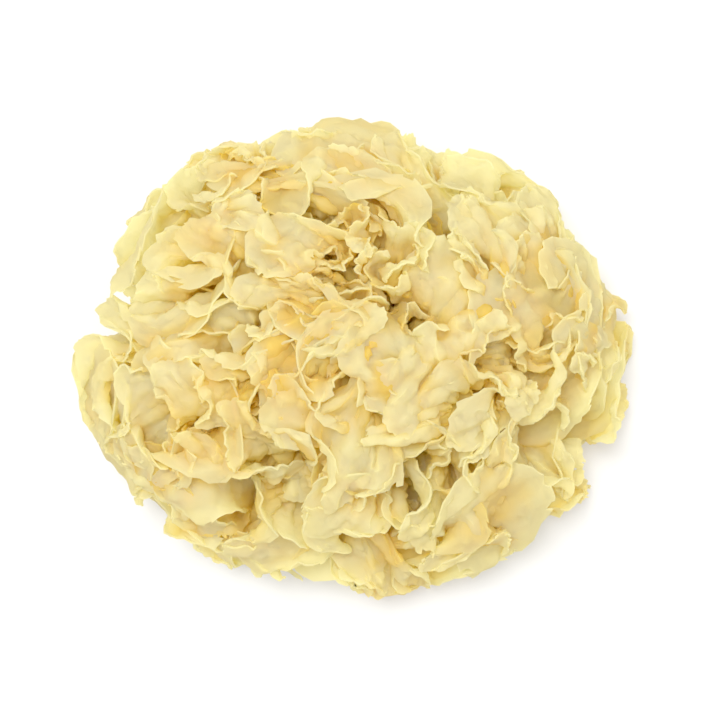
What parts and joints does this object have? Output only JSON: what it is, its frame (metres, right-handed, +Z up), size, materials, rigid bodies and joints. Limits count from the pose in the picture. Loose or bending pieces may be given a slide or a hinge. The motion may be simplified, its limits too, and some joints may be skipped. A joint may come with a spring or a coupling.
{
  "type": "dried snow fungus head",
  "caption": "Dried snow fungus head: thin, ruffled, translucent fronds that fan out from a hard trimmed base, resting on its flat cut face.",
  "frame": {"origin": "centre of the base's flat cut face, which rests on the table", "axes": "+Z up out of the crown, +X along the head's widest spread, +Y towards the top of the picture"},
  "size_m": [0.097, 0.0857, 0.048],
  "materials": {
    "dried_frond": "dry, matte, slightly translucent",
    "trimmed_base": "rough, matte"
  },
  "bodies": {
    "root": {"base": "trimmed_base", "frond_centre_1": "dried_frond", "frond_centre_2": "dried_frond", "frond_core_1": "dried_frond", "frond_core_2": "dried_frond", "frond_core_3": "dried_frond", "frond_inner_1": "dried_frond", "frond_inner_2": "dried_frond", "frond_inner_3": "dried_frond", "frond_inner_4": "dried_frond", "frond_inner_5": "dried_frond", "frond_middle_1": "dried_frond", "frond_middle_2": "dried_frond", "frond_middle_3": "dried_frond", "frond_middle_4": "dried_frond", "frond_middle_5": "dried_frond", "frond_middle_6": "dried_frond", "frond_middle_7": "dried_frond", "frond_outer_1": "dried_frond", "frond_outer_2": "dried_frond", "frond_outer_3": "dried_frond", "frond_outer_4": "dried_frond", "frond_outer_5": "dried_frond", "frond_outer_6": "dried_frond", "frond_outer_7": "dried_frond", "frond_outer_8": "dried_frond"}
  },
  "joints": []
}
